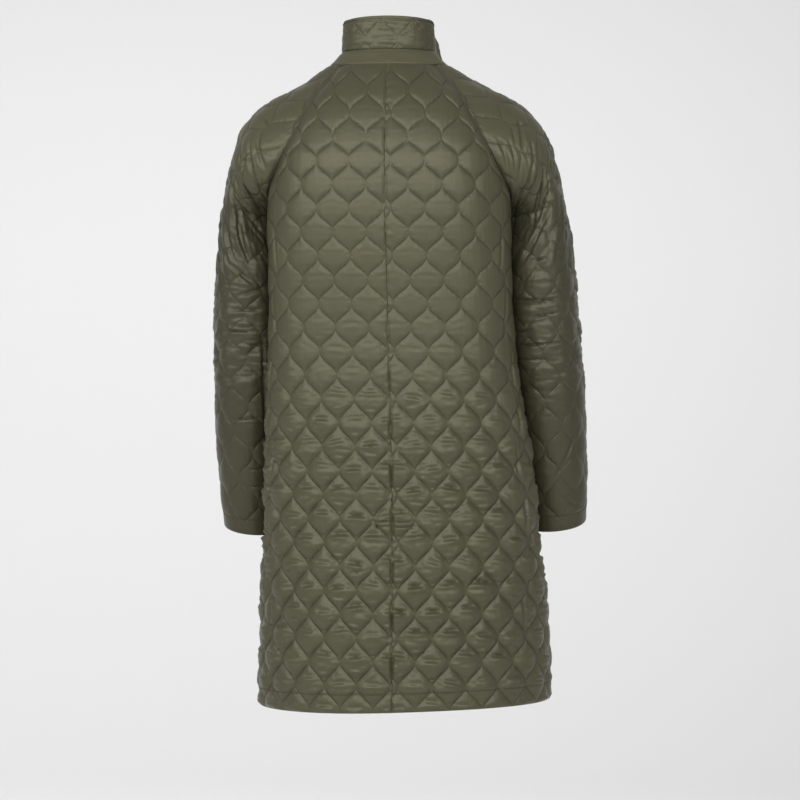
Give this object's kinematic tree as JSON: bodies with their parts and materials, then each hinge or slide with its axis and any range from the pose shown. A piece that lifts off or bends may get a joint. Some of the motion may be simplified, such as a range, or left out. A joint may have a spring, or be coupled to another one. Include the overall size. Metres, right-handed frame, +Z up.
{
  "type": "quilted coat",
  "caption": "Thigh-length quilted raglan coat in its worn, hollow shape, with a turned-up collar, buttoned front and stitched hem and cuffs.",
  "frame": {"origin": "between the shoulders at the height of the back neck seam, where the wearer's shoulders carry the coat", "axes": "+Z up along the body, -Y to the coat's buttoned front, +X to the wearer's left"},
  "size_m": [0.585, 0.3163, 1.0598],
  "materials": {
    "cloth": "satin woven nylon over light wadding, diamond quilted",
    "button": "satin"
  },
  "bodies": {
    "root": {"back_left": "cloth", "back_right": "cloth", "front_left": "cloth", "front_right": "cloth", "sleeve_left": "cloth", "sleeve_right": "cloth", "collar_stand": "cloth", "collar_leaf": "cloth", "button_1": "button", "button_2": "button", "button_3": "button", "button_4": "button", "button_5": "button"}
  },
  "joints": []
}
